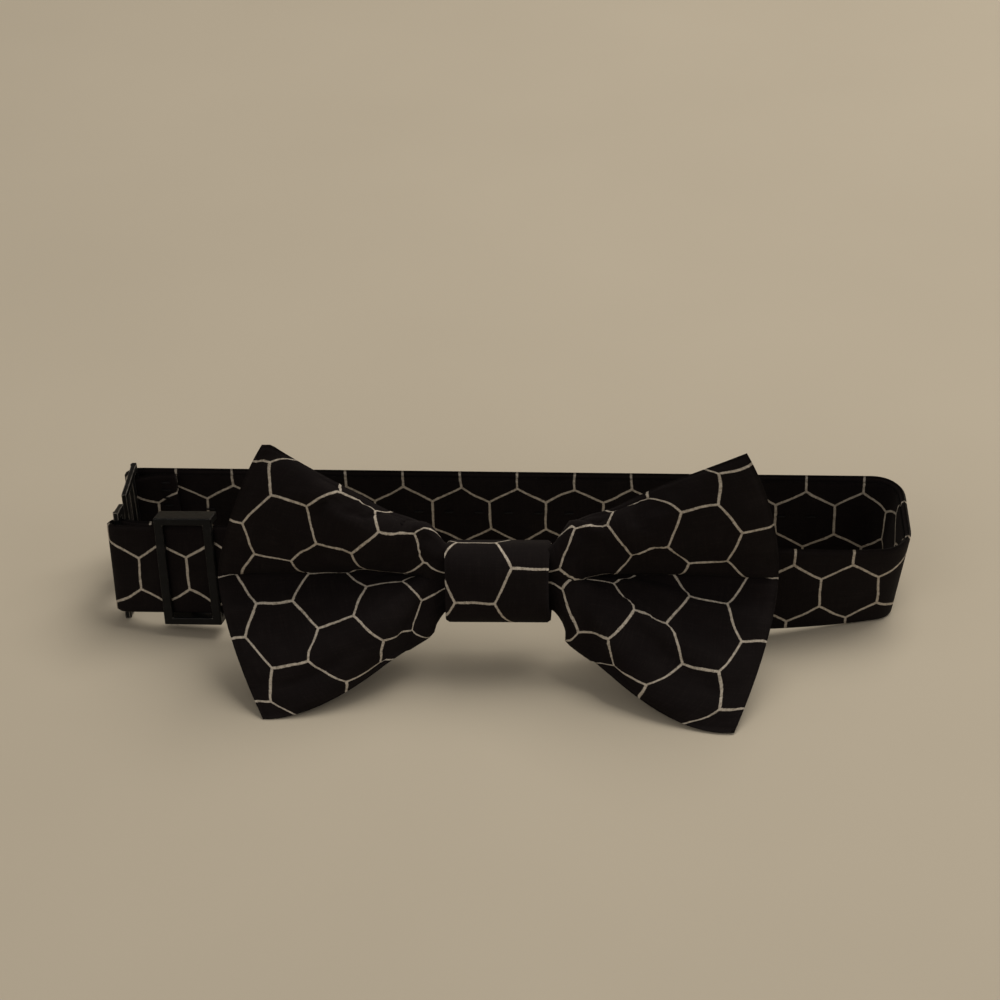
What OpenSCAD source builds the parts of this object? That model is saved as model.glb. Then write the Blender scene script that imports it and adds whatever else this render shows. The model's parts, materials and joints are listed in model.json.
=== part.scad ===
/* [Bow] */
// Width across the two wings at mid-height
bow_w = 115; // [95:1:140]
// Height of a wing at its corners, measured along the cloth
bow_h = 62; // [50:1:76]
// Height of the gathered waist inside the knot
waist_h = 14; // [13:0.5:19]
// Thickness of one ply of printed cotton
ply_t = 0.45; // [0.3:0.05:0.6]
// Thickness of the stiffener between the two plies
stiffener_t = 0.6; // [0.4:0.1:0.8]
// Forward lean of the lower half of each wing, in degrees from upright
lower_lean = 51; // [40:1:60]
// Forward bulge of the cloth above and below the pleat
lobe_rise = 4; // [1:0.5:6]

/* [Knot] */
// Width of the knot wrap along the bow
knot_w = 21.5; // [17:0.5:26]
// Thickness of the folded knot wrap
knot_wrap_t = 0.9; // [0.6:0.1:1.2]
// Thickness of the liner inside the wrap
knot_liner_t = 0.4; // [0.3:0.1:0.5]
// Backward lean of the knot, in degrees from upright
knot_tilt = 20; // [10:1:26]

/* [Neck band] */
// Width of the neck band
band_w = 20; // [16:0.5:24]
// Thickness of the finished band, both plies and interlining
band_t = 1.6; // [1.3:0.1:2]
// Length of the closed loop, left folds to right bend
loop_l = 168; // [140:1:202]
// Depth of the closed loop between the mid-planes of its two runs
loop_d = 25; // [24:1:34]
// Radius of the band's mid-plane at the two right corners
bend_r = 5; // [4:0.5:8]
// Forward bulge of the front run at the knot
front_bulge = 6.6; // [3:0.2:8]
// Backward lean of the strap that carries the slider, in degrees
strap_tilt = 14; // [6:1:16]
// Length of the band's end sewn back behind the eye
tab_l = 9; // [7:0.5:14]

/* [Slider] */
// Length of the slider along the strap
slider_l = 12.6; // [9:0.2:14]
// Width of the slider's two outer bars
slider_bar_w = 2; // [1.4:0.1:2.2]
// Width of the slider's middle bar
middle_bar_w = 2.4; // [2:0.1:2.8]
// Thickness of the slider's bars
slider_t = 1; // [0.8:0.1:1.2]
// Distance from the strap's left fold to the slider's middle bar
slider_pos = 15.5; // [11:0.5:20]
// Thickness of the strap end sewn round the middle bar
strap_end_t = 0.7; // [0.5:0.1:0.9]

/* [Hook and eye] */
// Radius of the round bars that the band folds around
bar_r = 0.7; // [0.6:0.05:0.8]
// Thickness of the hook and eye plates
plate_t = 1; // [0.8:0.1:1.2]
// Width of the side rails of the slider, the hook and the eye
rail_w = 1.6; // [1.2:0.1:2]
// Length of each crosswise plate next to a fold
cross_l = 2.2; // [1.8:0.1:2.8]
// Length of the eye's slot for the hook
slot_l = 4.8; // [4.6:0.1:6]
// Length of the eye's front bar
front_bar_l = 2; // [1.6:0.1:2.6]
// Width of the hook's tongue
tongue_w = 8; // [6:0.5:9]
// Thickness of the hook's foot
foot_t = 1.2; // [1:0.1:1.4]

/* [Thread] */
// Radius of the sewing thread
thread_r = 0.2; // [0.15:0.05:0.25]
// Length of one visible stitch
stitch_l = 2.2; // [1.6:0.2:3]

/* [Hidden] */
$fn = 32;

// Cloth colours and the black enamel of the metal
cotton = "#1b181d";
lining = "#2a282c";
thread = "#0f0f11";
enamel = "#141416";

// Gaps: cloth laid on cloth, parts that move, cloth inside the knot, band in its metal
lay_gap = 0.05;
run_gap = 0.2;
knot_ease = 0.6;
side_gap = 0.5;
hook_gap = 0.8;

// Wing outline: the outer edge is an arc about the knot, the long edges flare out from the waist
half_h = bow_h / 2;
edge_r = bow_w / 2;
corner_x = sqrt(edge_r * edge_r - half_h * half_h);
waist_x = knot_w / 2 + 0.5;
flare = 1.4;
lean_in = 0.35;
lobe_in = 0.25;
lobe_fade = 0.6;
wing_columns = 11;
wing_rows = 14;
fold_soft = 0.16;
stiffener_inset = 1.2;
pack_t = 2 * ply_t + stiffener_t + 2 * lay_gap;

// The gathered waist and the band lie one behind the other inside the knot
waist_t = pack_t * bow_h / waist_h;
waist_gap = 2 * thread_r + 3 * lay_gap;
knot_fill = waist_t + waist_gap + band_t;
knot_wall = knot_wrap_t + lay_gap + knot_liner_t;
knot_h = waist_h + 2 * (knot_wall + knot_ease);
knot_d = knot_fill + 2 * (knot_wall + knot_ease);
waist_y = (waist_t - knot_fill) / 2;
band_y = (knot_fill - band_t) / 2;
knot_back = [0, cos(knot_tilt), -sin(knot_tilt)];

// The wings' lower corners stand on the surface, which sets the height of the knot
function down(v) = (sqrt(v * v + fold_soft * fold_soft) - v) / 2;
function up(v) = down(v) + v;
pleat_z = half_h * (down(-1) * cos(lower_lean) - up(-1));
band_knot = [0, -front_bulge, pleat_z + (band_y - waist_y) * knot_back[2]];
knot_c = band_knot - band_y * knot_back;
pleat = knot_c + waist_y * knot_back;

// Radii of the band's folds, and the room they need beside a bar
fold_r = bar_r + run_gap + band_t / 2;
fold_room = fold_r + band_t / 2 + run_gap;
lap = band_t + run_gap;

// Loop in plan, from the front run's mid-plane
half_band = band_w / 2;
left_x = fold_r + band_t / 2 - loop_l / 2;
right_x = loop_l / 2 - bend_r - band_t / 2;
squeezed_w = min(band_w, waist_h);
squeeze_l = 6;
bend_steps = 4;
fold_steps = 6;
run_steps = 12;

// The metal is taller than the band and stands on the surface, so it lifts both ends of the band
metal_h = band_w + 2 * (side_gap + rail_w);
eye_z = metal_h / 2;
strap_z = metal_h / 2 * cos(strap_tilt) + (fold_r + fold_room + cross_l) * sin(strap_tilt);
function back_z(x) = half_band + (eye_z - half_band) * (right_x - x) / (right_x - left_x);

// The strap runs straight from the hook to the knot
strap_start = [left_x, 0, strap_z];
strap_vec = band_knot - [knot_w / 2, 0, 0] - strap_start;
strap_yaw = atan2(strap_vec[1], strap_vec[0]);
strap_rise = atan2(strap_vec[2], norm([strap_vec[0], strap_vec[1]]));
strap_len = norm(strap_vec);

// Slider: outer bars before the strap, middle bar behind it
end_loop_l = middle_bar_w + 2 * (lay_gap + strap_end_t);
end_loop_y = band_t / 2 + run_gap + strap_end_t + lay_gap + slider_t / 2;
return_l = slider_pos - end_loop_l / 2 - 2 * run_gap;

// Hook and eye lie in one upright plane across the loop's left end
eye_bar = [left_x, loop_d - fold_r, eye_z];
eye_slot_end = fold_room + cross_l + slot_l;
hook_bar_y = fold_r * cos(strap_tilt);
foot_slack = 0.6 + tongue_w / 2 * sin(strap_tilt);
foot_y = (eye_bar[1] - eye_slot_end - hook_bar_y + foot_slack) / cos(strap_tilt);
tongue_out = plate_t + hook_gap;

// Footprint: the wings' lower corners reach forward, the back run reaches back
tip_reach = half_h * (down(-1) * sin(lower_lean)) - pleat[1] + pack_t / 2;
front_y = (tip_reach - loop_d - band_t / 2) / 2;

// ---- Shared helpers ----

// Front-run coordinates to the part's frame, whose origin is the middle of the footprint
module in_frame() translate([0, front_y, 0]) children();

// Strap's own frame: x along the strap to the knot, y back, z up
module on_strap() in_frame() translate(strap_start) rotate([-strap_tilt, -strap_rise, strap_yaw]) children();

// Knot's own frame: y back, z up, leaning back
module on_knot() in_frame() translate(knot_c) rotate([-knot_tilt, 0, 0]) children();

// A box about the x and z axes' zero, from y0 to y1
module slab(l, y0, y1, h) translate([-l / 2, y0, -h / 2]) cube([l, y1 - y0, h]);

// A row of stitches along x, n of them a step apart up z
module stitch_column(n, step)
    for (i = [0:n - 1])
        translate([-stitch_l / 2, 0, (i - (n - 1) / 2) * step]) rotate([0, 90, 0])
            cylinder(h = stitch_l, r = thread_r, $fn = 16);

function turn(v, a) = [v[0] * cos(a) - v[1] * sin(a), v[0] * sin(a) + v[1] * cos(a), v[2]];
function ease(t) = let (c = max(0, min(1, t))) c * c * (3 - 2 * c);

// Faces of a closed skin over rings of n points each, whose two ends are strips across the ring.
// Both halves of a ring split their faces along the same lines, so sheets that lie together stay apart.
function ring_faces(rings, n) = concat(
    [for (k = [0:rings - 2], i = [0:n - 1]) let (a = k * n + i, b = k * n + (i + 1) % n)
        each i < n / 2 ? [[a, b + n, b], [a, a + n, b + n]] : [[a, a + n, b], [b, a + n, b + n]]],
    [for (i = [0:n / 2 - 2]) let (j = n - 1 - i) each [[i, i + 1, j], [i + 1, j - 1, j]]],
    [for (i = [0:n / 2 - 2]) let (k = (rings - 1) * n + i, j = rings * n - 1 - i)
        each [[k, j, k + 1], [k + 1, j, j - 1]]]);

// ---- Bow: sheets swept across the wings, one ring of points per column ----

// Half height of the cloth and share of the way out from the waist, at distance x from the knot
function outward(x) = max(0, (abs(x) - waist_x) / (corner_x - waist_x));
function half_at(x) = let (t = outward(x)) waist_h / 2 + (half_h - waist_h / 2) * t * (flare - (flare - 1) * t);

// A point of the cloth: column x at the corner line, w from -1 at the lower edge to 1 at the upper
function cloth(x, w) = let (
        t = outward(x),
        edge_x = sqrt(edge_r * edge_r - half_h * half_h * w * w),
        px = sign(x) * (abs(x) + t * (edge_x - corner_x)),
        e = ease(t / lean_in),
        lo = knot_tilt + e * (lower_lean - knot_tilt),
        hi = knot_tilt * (1 - e),
        lobe = lobe_rise * ease(t / lobe_in) * (1 - lobe_fade * t) * sin(180 * abs(w)))
    [px, 0, 0] + pleat + half_at(x) * [0, up(w) * sin(hi) - down(w) * sin(lo), up(w) * cos(hi) - down(w) * cos(lo)]
    - [0, lobe * cos(w < 0 ? lo / 2 : 0), 0];

// Direction and scale of the cloth's thickness, which bunches up at the waist
function through(x) = let (a = knot_tilt * (1 - ease(outward(x) / lean_in)))
    half_h / half_at(x) * [0, cos(a), -sin(a)];

// Lines of the grid run from the left corner to the right one and from the lower edge to the upper.
// The second and the last but one in each direction are where the stiffener stops.
inner_x = corner_x - stiffener_inset;
wing = concat([for (i = [0:wing_columns]) waist_x + (inner_x - waist_x) * i / wing_columns], [corner_x]);
columns = concat([for (i = [wing_columns + 1:-1:0]) -wing[i]], wing);
inner_w = 1 - stiffener_inset / half_h;
rows = concat([-1], [for (j = [0:wing_rows]) inner_w * (2 * j / wing_rows - 1)], [1]);

// A sheet from y0 to y1 through the bow, a number of grid lines short of its outline
module bow_sheet(y0, y1, short = 0) in_frame() polyhedron(
    points = [for (i = [short:len(columns) - 1 - short]) let (x = columns[i], d = through(x)) each concat(
        [for (j = [short:len(rows) - 1 - short]) cloth(x, rows[j]) + y0 * d],
        [for (j = [len(rows) - 1 - short:-1:short]) cloth(x, rows[j]) + y1 * d])],
    faces = ring_faces(len(columns) - 2 * short, 2 * (len(rows) - 2 * short)));

module bow_front_ply() color(cotton) bow_sheet(-pack_t / 2, ply_t - pack_t / 2);

module bow_stiffener() color(lining) bow_sheet(-stiffener_t / 2, stiffener_t / 2, 1);

module bow_back_ply() color(cotton) bow_sheet(pack_t / 2 - ply_t, pack_t / 2);

// ---- Knot ----

// Upright rounded tube about the x axis, d deep and h high outside
module rounded(d, h, r) {
    square([d - 2 * r, h], center = true);
    square([d, h - 2 * r], center = true);
    for (a = [-1, 1], b = [-1, 1])
        translate([a * (d / 2 - r), b * (h / 2 - r)]) circle(r);
}
module wrap(w, d, h, r, wall)
    rotate([90, 0, 90]) linear_extrude(w, center = true) difference() {
        rounded(d, h, r);
        rounded(d - 2 * wall, h - 2 * wall, r - wall);
    }

knot_corner_r = knot_wall + 4 * thread_r;
liner_inset = knot_wrap_t + lay_gap;
gather_turns = 3;

module knot_wrap() color(cotton) on_knot() wrap(knot_w, knot_d, knot_h, knot_corner_r, knot_wrap_t);

module knot_liner() color(lining) on_knot()
    wrap(knot_w - 2, knot_d - 2 * liner_inset, knot_h - 2 * liner_inset, knot_corner_r - liner_inset, knot_liner_t);

module bow_gather_thread() color(thread) on_knot()
    for (i = [1:gather_turns])
        translate([(i - (gather_turns + 1) / 2) * 5 * thread_r, waist_y, 0])
            wrap(2 * thread_r, waist_t + 2 * (lay_gap + 2 * thread_r), waist_h + 2 * (lay_gap + 2 * thread_r),
                3 * thread_r, 2 * thread_r);

module knot_seam_stitches() color(thread) on_knot()
    translate([0, knot_d / 2 + thread_r, 0]) stitch_column(5, (knot_h - 2 * knot_corner_r) / 5);

// ---- Neck band: plies swept along stations of [point, inward, upward, width] ----

function inward(h, r, t) = turn([sin(t) * sin(r), cos(t), -sin(t) * cos(r)], h);
function upward(h, r, t) = turn([-cos(t) * sin(r), sin(t), cos(t) * cos(r)], h);
function level(p, h) = [p, inward(h, 0, 0), upward(h, 0, 0), band_w];

// A station in the strap's own frame, turned by a about its upright
function on_strap_at(x, y, a) = let (
        sx = turn([cos(strap_rise), 0, sin(strap_rise)], strap_yaw),
        sy = inward(strap_yaw, strap_rise, strap_tilt),
        n = turn([0, 1, 0], a))
    [strap_start + x * sx + y * sy, n[0] * sx + n[1] * sy, upward(strap_yaw, strap_rise, strap_tilt), band_w];

// Strap folded round the hook's bar, then straight to the knot
hook_fold = [for (i = [0:fold_steps]) let (a = 180 + 180 * i / fold_steps, n = turn([0, 1, 0], a))
    on_strap_at(-fold_r * n[0], fold_r - fold_r * n[1], a)];
strap_stations = concat([on_strap_at(return_l, lap, 180), on_strap_at(3 * fold_r, lap, 180)], hook_fold,
    [on_strap_at(strap_len - squeeze_l, 0, 0)]);

// Level inside the knot, then along the right run, settling down to the surface
run_l = right_x - knot_w / 2;
function run_at(x) = let (
        s = max(0, x - knot_w / 2) / run_l,
        p = [x, -front_bulge * (1 - s * s), half_band + (band_knot[2] - half_band) * pow(1 - s, 1.5)],
        h = atan(2 * front_bulge * s / run_l),
        r = -atan(1.5 * (band_knot[2] - half_band) * sqrt(1 - s) / run_l) * (s > 0 ? 1 : 0),
        t = knot_tilt * (1 - s),
        out = ease((abs(x) - knot_w / 2) / squeeze_l))
    [p, inward(h, r, t), upward(h, r, t), squeezed_w + out * (band_w - squeezed_w)];
run_stations = [for (x = [-knot_w / 2, knot_w / 4, knot_w / 2, knot_w / 2 + squeeze_l]) run_at(x)];
right_from = knot_w / 2 + squeeze_l;
right_stations = [for (i = [1:run_steps - 1]) run_at(right_from + (right_x - right_from) * i / run_steps)];

// The two right corners and the back run, then the fold round the eye's bar and the sewn tab
function corner(y, from) = [for (i = [0:bend_steps]) let (a = from + 90 * i / bend_steps, n = turn([0, 1, 0], a))
    level([right_x - bend_r * n[0], y - bend_r * n[1], half_band], a)];
eye_fold = [for (i = [0:fold_steps]) let (a = 180 + 180 * i / fold_steps, n = turn([0, 1, 0], a))
    level(eye_bar - fold_r * n, a)];
tab_end = left_x + tab_l;
stations = concat(strap_stations, run_stations, right_stations, corner(bend_r, 0), corner(loop_d - bend_r, 90),
    eye_fold, [for (x = [left_x + 3 * fold_r, tab_end]) level([x, loop_d - lap, eye_z], 360)]);

// A ribbon from y0 to y1 through the band, with lines along it at these distances from each edge
module ribbon(y0, y1, insets) in_frame() polyhedron(
    points = [for (s = stations) each let (
            w = [for (i = insets) i - s[3] / 2],
            all = concat(w, [for (k = [len(w) - 1:-1:0]) -w[k]])) concat(
        [for (v = all) s[0] + y0 * s[1] + v * s[2]],
        [for (k = [len(all) - 1:-1:0]) s[0] + y1 * s[1] + all[k] * s[2]])],
    faces = ring_faces(len(stations), 4 * len(insets)));

module band_face_ply() color(cotton) ribbon(-band_t / 2, ply_t - band_t / 2, [0, stiffener_inset]);

module band_interlining() color(lining)
    ribbon(ply_t + lay_gap - band_t / 2, band_t / 2 - ply_t - lay_gap, [stiffener_inset]);

module band_back_ply() color(cotton) ribbon(band_t / 2 - ply_t, band_t / 2, [0, stiffener_inset]);

// Slip stitches that close the band, along the inside of the back run
seam_step = 3 * stitch_l;
seam_from = tab_end + seam_step;
module band_seam_stitches() color(thread) in_frame()
    for (x = [seam_from:seam_step:right_x - seam_step])
        translate([x, loop_d - band_t / 2 - thread_r, back_z(x)]) stitch_column(1, 0);

// ---- Slider ----

end_loop_d = slider_t + 2 * (lay_gap + strap_end_t);
tack_rows = 9;

module strap_end_loop() color(cotton) on_strap() translate([slider_pos, end_loop_y, 0]) difference() {
    slab(end_loop_l, -end_loop_d / 2, end_loop_d / 2, band_w);
    slab(middle_bar_w + 2 * lay_gap, -slider_t / 2 - lay_gap, slider_t / 2 + lay_gap, band_w + 1);
}

module strap_end_stitches() color(thread) on_strap()
    translate([slider_pos, end_loop_y + end_loop_d / 2 + thread_r, 0]) stitch_column(tack_rows, band_w / (tack_rows + 1));

module slider_frame() color(enamel) on_strap() translate([slider_pos, 0, 0]) {
    front = -band_t / 2 - run_gap - slider_t;
    back = end_loop_y + slider_t / 2;
    for (s = [-1, 1]) {
        translate([s * (slider_l - slider_bar_w) / 2, 0, 0]) slab(slider_bar_w, front, front + slider_t, metal_h);
        translate([0, 0, s * (metal_h - rail_w) / 2]) slab(slider_l, front, back, rail_w);
    }
    slab(middle_bar_w, back - slider_t, back, metal_h);
}

// ---- Hook and eye ----

// Bar, rails and crosswise plate that hold a fold, opening along y
module buckle(reach) {
    cylinder(h = metal_h, r = bar_r, center = true);
    for (s = [-1, 1])
        translate([0, 0, s * (metal_h - rail_w) / 2]) slab(plate_t, -bar_r, reach, rail_w);
    slab(plate_t, fold_room, fold_room + cross_l, metal_h);
}

module hook() color(enamel) on_strap() translate([0, fold_r, 0]) rotate([0, 0, -strap_yaw]) {
    buckle(fold_room + cross_l);
    translate([-tongue_out / 2, 0, 0]) slab(plate_t + tongue_out, fold_room, fold_room + cross_l, tongue_w);
    translate([-tongue_out, 0, 0]) slab(plate_t, fold_room, foot_y + foot_t, tongue_w);
    translate([-tongue_out / 2 + hook_gap / 2, 0, 0])
        slab(plate_t + tongue_out + hook_gap, foot_y, foot_y + foot_t, tongue_w);
}

module eye() color(enamel) in_frame() translate(eye_bar) rotate([0, 0, 180]) {
    buckle(eye_slot_end + front_bar_l);
    slab(plate_t, eye_slot_end, eye_slot_end + front_bar_l, metal_h);
}

module eye_fold_stitches() color(thread) in_frame()
    translate([tab_end - stitch_l, loop_d - lap - band_t / 2 - thread_r, eye_z])
        stitch_column(tack_rows, band_w / (tack_rows + 1));

bow_front_ply();
bow_stiffener();
bow_back_ply();
bow_gather_thread();
knot_wrap();
knot_liner();
knot_seam_stitches();
band_face_ply();
band_interlining();
band_back_ply();
band_seam_stitches();
strap_end_loop();
strap_end_stitches();
slider_frame();
hook();
eye();
eye_fold_stitches();
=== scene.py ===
import json
import math
import bpy
import numpy as np
from collections import namedtuple
from mathutils import Matrix, Vector

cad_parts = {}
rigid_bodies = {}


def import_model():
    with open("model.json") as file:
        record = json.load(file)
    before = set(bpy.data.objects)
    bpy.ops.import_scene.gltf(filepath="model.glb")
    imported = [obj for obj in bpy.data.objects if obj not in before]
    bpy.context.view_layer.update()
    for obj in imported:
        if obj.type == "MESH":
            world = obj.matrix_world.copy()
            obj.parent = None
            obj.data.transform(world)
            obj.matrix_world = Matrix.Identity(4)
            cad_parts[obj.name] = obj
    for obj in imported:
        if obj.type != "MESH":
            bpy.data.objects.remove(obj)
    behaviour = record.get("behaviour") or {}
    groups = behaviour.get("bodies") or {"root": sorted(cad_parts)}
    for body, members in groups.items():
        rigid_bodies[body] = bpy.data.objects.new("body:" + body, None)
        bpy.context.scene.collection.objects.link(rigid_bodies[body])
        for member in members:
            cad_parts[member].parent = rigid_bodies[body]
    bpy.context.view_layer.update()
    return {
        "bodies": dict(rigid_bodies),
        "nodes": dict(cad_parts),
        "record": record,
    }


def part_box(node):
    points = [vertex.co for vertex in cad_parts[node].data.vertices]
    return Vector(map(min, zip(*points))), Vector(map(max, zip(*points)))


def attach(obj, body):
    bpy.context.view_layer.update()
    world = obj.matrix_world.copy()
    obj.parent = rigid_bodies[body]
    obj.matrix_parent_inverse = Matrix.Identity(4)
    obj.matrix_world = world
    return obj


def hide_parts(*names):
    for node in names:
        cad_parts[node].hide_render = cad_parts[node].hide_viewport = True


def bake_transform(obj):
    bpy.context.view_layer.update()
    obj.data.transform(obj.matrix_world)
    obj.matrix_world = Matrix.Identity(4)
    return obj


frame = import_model()
bodies, nodes = frame["bodies"], frame["nodes"]

MM = 0.001
UV_MM = 100.0          # millimetres of cloth in one unit of the Cloth map


# ---------------------------------------------------------------- frame
def mm(point):
    return np.array(point, float) / MM


joints = {j["name"]: j for j in frame["record"]["behaviour"]["joints"]}
sx = np.array(joints["slider_slide"]["axis"], float)      # along the strap, to the knot
sz = np.array(joints["hook_swing"]["axis"], float)        # up the strap's width
sx, sz = sx / np.linalg.norm(sx), sz / np.linalg.norm(sz)
sy = np.cross(sz, sx)                                     # back, away from the viewer
hook_bar = mm(joints["hook_swing"]["pos_m"])
eye_bar = mm(joints["eye_swing"]["pos_m"])
knot_low, knot_high = (mm(c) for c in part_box("knot_wrap"))
band_high = mm(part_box("band_face_ply")[1])
knot_c = (knot_low + knot_high) / 2

# Sizes that the CAD model sets, in millimetres and degrees
band_w, band_t = 20.0, 1.6
fold_r = 1.7           # radius of the band's mid-plane round a bar
bend_r = 5.0
lap = 1.8              # distance between two layers of band that lie together
knot_tilt = 20.0
knot_w = knot_high[0] - knot_low[0]
knot_h, knot_d = 17.5, 13.0
front_corner, back_corner = 6.3, 2.4     # radii of the knot's loop, seen from its side
squeezed_w = 11.5      # height of the band inside the knot
squeeze_l = 6.0
knot_sag = 0.8         # how far the soft knot hangs below the middle of its solid
liner_in = 0.95        # depth of the knot's liner under its wrap
back_taper = 0.16      # share by which a wrapped loop narrows towards its back
thread_r = 0.2
right_x = band_high[0] - band_t / 2 - bend_r
strap_start = hook_bar - fold_r * sy
front_y = strap_start[1]
back_y = eye_bar[1] + fold_r
slider_x = 15.5        # middle bar of the slider, along the strap
bar_y = 2.25           # middle of that bar, behind the strap's mid-plane
eye_lap = 9.0          # length of the band's end folded back beyond the eye's bar
lean_front, lean_bend, lean_back = -6.0, -9.0, -2.0      # of the band as it meets, rounds and leaves the bend


# ---------------------------------------------------------------- mesh helpers
def link(obj):
    bpy.context.scene.collection.objects.link(obj)
    return obj


def mesh_object(name, verts, faces, uvs=None):
    """verts in millimetres; uvs holds one pair for each corner of each face, in millimetres of cloth."""
    mesh = bpy.data.meshes.new(name)
    mesh.from_pydata([tuple(v * MM) for v in verts], [], faces)
    if uvs is not None:
        layer = mesh.uv_layers.new(name="Cloth")
        layer.data.foreach_set("uv", (np.array(uvs, float) / UV_MM).ravel())
    mesh.validate()
    mesh.polygons.foreach_set("use_smooth", [True] * len(mesh.polygons))
    return link(bpy.data.objects.new(name, mesh))


def skin(name, outer, inner, uv, wrap=False):
    """Closed shell between two grids of points, rows by columns, with cloth coordinates uv. wrap joins
    the last row to the first; uv then has one more row than the grids."""
    rows, cols = outer.shape[:2]
    verts = np.concatenate([outer.reshape(-1, 3), inner.reshape(-1, 3)])
    faces, uvs = [], []
    base = rows * cols

    def quad(a, b, c, d, ta, tb, tc, td):
        faces.append((a, b, c, d))
        uvs.extend((ta, tb, tc, td))

    last = rows if wrap else rows - 1
    for i in range(last):
        k = (i + 1) % rows
        for j in range(cols - 1):
            a, b, c, d = i * cols + j, i * cols + j + 1, k * cols + j + 1, k * cols + j
            ta, tb, tc, td = uv[i][j], uv[i][j + 1], uv[i + 1][j + 1], uv[i + 1][j]
            quad(a, b, c, d, ta, tb, tc, td)
            quad(base + d, base + c, base + b, base + a, td, tc, tb, ta)
        for j, flip in ((0, False), (cols - 1, True)):
            a, d = i * cols + j, k * cols + j
            ta, td = uv[i][j], uv[i + 1][j]
            if flip:
                quad(a, base + a, base + d, d, ta, ta, td, td)
            else:
                quad(a, d, base + d, base + a, ta, td, td, ta)
    if not wrap:
        for i, flip in ((0, True), (rows - 1, False)):
            for j in range(cols - 1):
                a, b = i * cols + j, i * cols + j + 1
                ta, tb = uv[i][j], uv[i][j + 1]
                if flip:
                    quad(a, base + a, base + b, b, ta, ta, tb, tb)
                else:
                    quad(a, b, base + b, base + a, ta, tb, tb, ta)
    return mesh_object(name, verts, faces, uvs)


def normals(grid):
    """Unit normals of a grid of points: rows direction crossed with columns direction."""
    du = np.gradient(grid, axis=0)
    dv = np.gradient(grid, axis=1)
    n = np.cross(du, dv)
    return n / np.maximum(np.linalg.norm(n, axis=2, keepdims=True), 1e-9)


def ease(t):
    t = np.clip(t, 0.0, 1.0)
    return t * t * (3 - 2 * t)


def rolled(distance, radius):
    """Height of a turned edge: 0 at the edge, 1 from radius inward, round between."""
    t = np.clip(distance / radius, 0.0, 1.0)
    return np.sqrt(1 - (1 - t) ** 2)


def ripple(x, y, seed):
    """Smooth irregular value about -1 to 1, the same every run."""
    rng = np.random.default_rng(seed)
    total = np.zeros(np.broadcast(x, y).shape)
    for k in range(6):
        fx, fy, phase = rng.uniform(0.04, 0.22), rng.uniform(0.04, 0.22), rng.uniform(0, 2 * math.pi)
        total = total + np.sin(fx * x * rng.choice((-1, 1)) + fy * y + phase)
    return total / 3.5


# ---------------------------------------------------------------- bow
# One half of a wing: its corner's distance out and height along the cloth, how fast it flares from the
# waist, the swing of its fold, how far its outer part curls back, how soft the fold gets further out, the
# power of its outer edge's curve and how far its print bends
Half = namedtuple("Half", "out height flare swing curl soften power print_curve")
halves = {("left", "upper"): Half(46.92, 29.45, 1.00, 0.99, 0.82, 0.0, 1.26, -4.98),
          ("left", "lower"): Half(47.42, 30.52, 1.87, 1.01, 0.25, 2.2, 1.39, -1.40),
          ("right", "upper"): Half(50.1, 30.2, 1.23, 1.05, 0.29, 0.0, 2.12, -2.53),
          ("right", "lower"): Half(47.92, 32.53, 2.04, 1.07, -0.14, 2.4, 1.50, 1.16)}

# A whole wing: reach of its outer edge at the pleat, lean of its lower half, sweep of its outer part towards
# the viewer, depth of the pleat at the waist and gained outside it, and how the print lies on the cloth
Wing = namedtuple("Wing", "reach lean sweep depth gain print_u print_w stretch_u stretch_w")
wings = {"left": Wing(58.3, 53.4, -1.05, 0.21, 0.21, 2.46, -0.78, 1.031, 0.930),
         "right": Wing(57.2, 53.2, -1.77, 0.365, 0.0, 1.48, 0.03, 1.028, 0.988)}
waist_x = knot_w / 2 + 0.3
wing_out = 49.0                               # distance out at which the corners are reached
print_centre = 33.0
pleat = knot_c + np.array([0, -0.53, 0.35])
ply_half = 0.62        # half the thickness of the finished bow
ply_t = 0.3
lining_half = 0.2
knot_room_y, knot_room_z = 3.0, 6.2           # half the room for the folds inside the knot
spread_x = 6.5         # distance out at which the gathers begin to open
crease_r = 0.7         # roundness of the pleat's crease


def bessel0(a):
    """Share of its own length that cloth spans when its slope swings by a radians."""
    t = np.linspace(0, math.pi, 60)
    return np.mean(np.cos(a * np.cos(t)))


A_TABLE = np.linspace(0, 2.2, 120)
J_TABLE = np.array([bessel0(a) for a in A_TABLE])


def lobe_angle(ratio):
    """Swing of the cloth's slope that packs its length into this share of its height."""
    return float(np.interp(-ratio, -J_TABLE, A_TABLE))


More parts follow.
